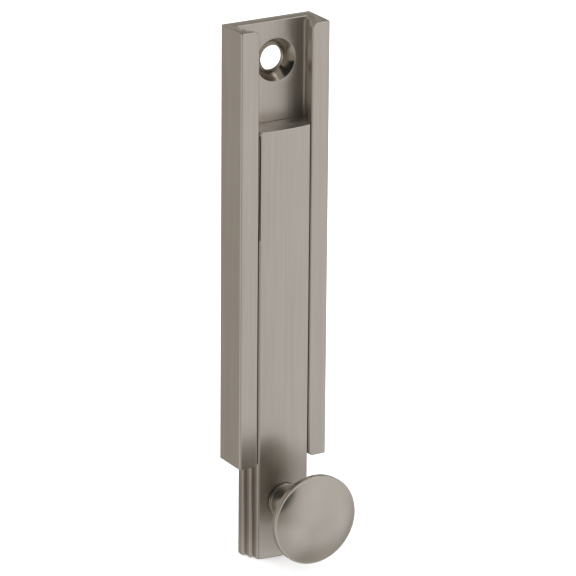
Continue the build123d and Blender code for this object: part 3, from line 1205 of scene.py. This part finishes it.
@dataclass
class Studio:
    """The floor, the surroundings and the camera."""

    floor_finish: bpy.types.Material
    floor_half: float = 6.0
    base_level: float = 0.38
    shade_tint: Colour = (1.0, 0.88, 0.68)
    light_tint: Colour = (1.0, 0.975, 0.955)
    floor_light: float = 2.0
    glows: tuple[Glow, ...] = ()
    azimuth: float = math.radians(-30.726)
    elevation: float = math.radians(19.525)
    roll: float = math.radians(0.486)
    distance: float = 1.004405
    target: tuple[float, float, float] = (3.674, -4.5, -11.367)
    lens: float = 281.25
    sensor: float = 36.0

    def build(self) -> None:
        """Build the whole studio."""
        self.floor()
        self.surroundings()
        self.camera()

    def floor(self) -> None:
        """Lay the pale floor under the lowest point of the object."""
        low = CAD_BOX[0][2]
        side = np.linspace(-self.floor_half, self.floor_half, 3)
        x, y = np.meshgrid(side, side, indexing="ij")
        draft = Draft()
        draft.skin(draft.points(np.stack([x, y, np.full_like(x, low)], -1) / MM), closed=False)
        floor = draft.piece("studio_floor")
        floor.data.materials.append(self.floor_finish)
        floor.visible_glossy = False
        if floor.data.polygons[0].normal.z < 0:
            floor.data.flip_normals()

    def surroundings(self) -> None:
        """Paint the surroundings: an even light on the floor, and soft patches for the metal."""
        world = bpy.data.worlds.new("studio_surroundings")
        bpy.context.scene.world = world
        world.use_nodes = True
        graph = Graph(world.node_tree)
        direction = graph.node("ShaderNodeTexCoord", output="Generated")
        level: Signal | float = self.base_level
        for glow in self.glows:
            towards = graph.node("ShaderNodeVectorMath", {"operation": "DOT_PRODUCT"},
                                 {0: direction, 1: glow.direction()}, "Value")
            edge, core = (math.cos(math.radians(a)) for a in (glow.spread, glow.core))
            level = level + towards.step(edge, core) * glow.strength
        level = graph.node("ShaderNodeMath", {"operation": "MAXIMUM"}, {0: level, 1: 0.0})
        seen = graph.node("ShaderNodeLightPath", output="Is Glossy Ray")
        strength = graph.mix_number(seen, self.floor_light, level)
        tint = graph.mix_colour(level.step(0.1, 0.75), self.shade_tint, self.light_tint)
        colour = graph.mix_colour(seen, (1.0, 1.0, 1.0), tint)
        paint = graph.node("ShaderNodeBackground", inputs={"Color": colour, "Strength": strength})
        graph.node("ShaderNodeOutputWorld", inputs={0: paint})

    def camera(self) -> None:
        """Place the camera: its direction, its slight roll, its distance and what it looks at."""
        back = Vector((
            math.sin(self.azimuth) * math.cos(self.elevation),
            -math.cos(self.azimuth) * math.cos(self.elevation),
            math.sin(self.elevation)))
        level_right = (-back).cross(Vector((0, 0, 1))).normalized()
        level_up = level_right.cross(-back)
        right = level_right * math.cos(self.roll) + level_up * math.sin(self.roll)
        up = level_up * math.cos(self.roll) - level_right * math.sin(self.roll)
        data = bpy.data.cameras.new("studio_camera")
        data.sensor_width = self.sensor
        data.lens = self.lens
        data.clip_start, data.clip_end = 0.05, 50.0
        camera = bpy.data.objects.new("studio_camera", data)
        turn = Matrix((right, up, back)).transposed().to_4x4()
        place = Vector(self.target) * MM + back * self.distance
        camera.matrix_world = Matrix.Translation(place) @ turn
        bpy.context.scene.collection.objects.link(camera)
        bpy.context.scene.camera = camera


def main() -> None:
    """Build the pieces in order, then the studio around them."""
    logging.basicConfig(level=logging.INFO, format="%(name)s: %(message)s")
    knob_low, knob_high = node_box("knob")
    _, screw_high = node_box("knob_screw")
    knob_x, knob_z = 0.0, (knob_low.z + knob_high.z) / 2
    steps = SlotSteps()
    brushed = BrushedNickel().material()
    # the bolt's finish has shade painted round the knob
    painted_knob_shade = BrushedNickel("satin_nickel_with_painted_knob_shade", painted_shade_z=knob_z * MM).material()
    turned = TurnedNickel("turned_satin_nickel", knob_x * MM, knob_z * MM).material()
    zinc = GrainedMetal("zinc_plate", (0.66, 0.67, 0.69), (0.52, 0.53, 0.55), 0.28,
                        (2500.0,) * 3).material()
    bronze = GrainedMetal("spring_bronze_strip", (0.40, 0.30, 0.20), (0.28, 0.20, 0.13), 0.36,
                          (6000.0, 6000.0, 200.0)).material()
    pin = GrainedMetal("ground_pin_steel", (0.55, 0.55, 0.56), (0.42, 0.42, 0.43), 0.30,
                       (4000.0,) * 3).material()
    Channel(steps, brushed).build()
    SlidingBolt(steps, painted_knob_shade).build()
    Knob(knob_x, knob_z, -knob_high.y, turned).build()
    KnobFixing(knob_x, knob_z, -screw_high.y, zinc).build()
    FrictionStrip(bronze).build()
    StopPin(pin).build()
    Studio(FloorPaper().material(), glows=(
        Glow(38.0, -5.0, 24.0, 62.0, 0.39),
        Glow(-100.0, -10.0, 12.0, 42.0, 0.45),
        Glow(-38.0, 28.0, 28.5, 35.0, -0.90),
        Glow(38.0, -42.0, 10.0, 32.0, -0.12),
        Glow(-20.0, -45.0, 12.0, 36.0, 0.25),
        Glow(149.0, 32.0, 15.0, 60.0, -0.18),
        Glow(146.0, -4.0, 6.0, 18.0, 0.60),
        Glow(52.0, 52.0, 6.0, 16.0, 1.3),
        Glow(60.0, -50.0, 12.0, 42.0, 0.14),
    )).build()
    bpy.context.scene.view_settings.view_transform = "Standard"


if __name__ == "__main__":
    main()
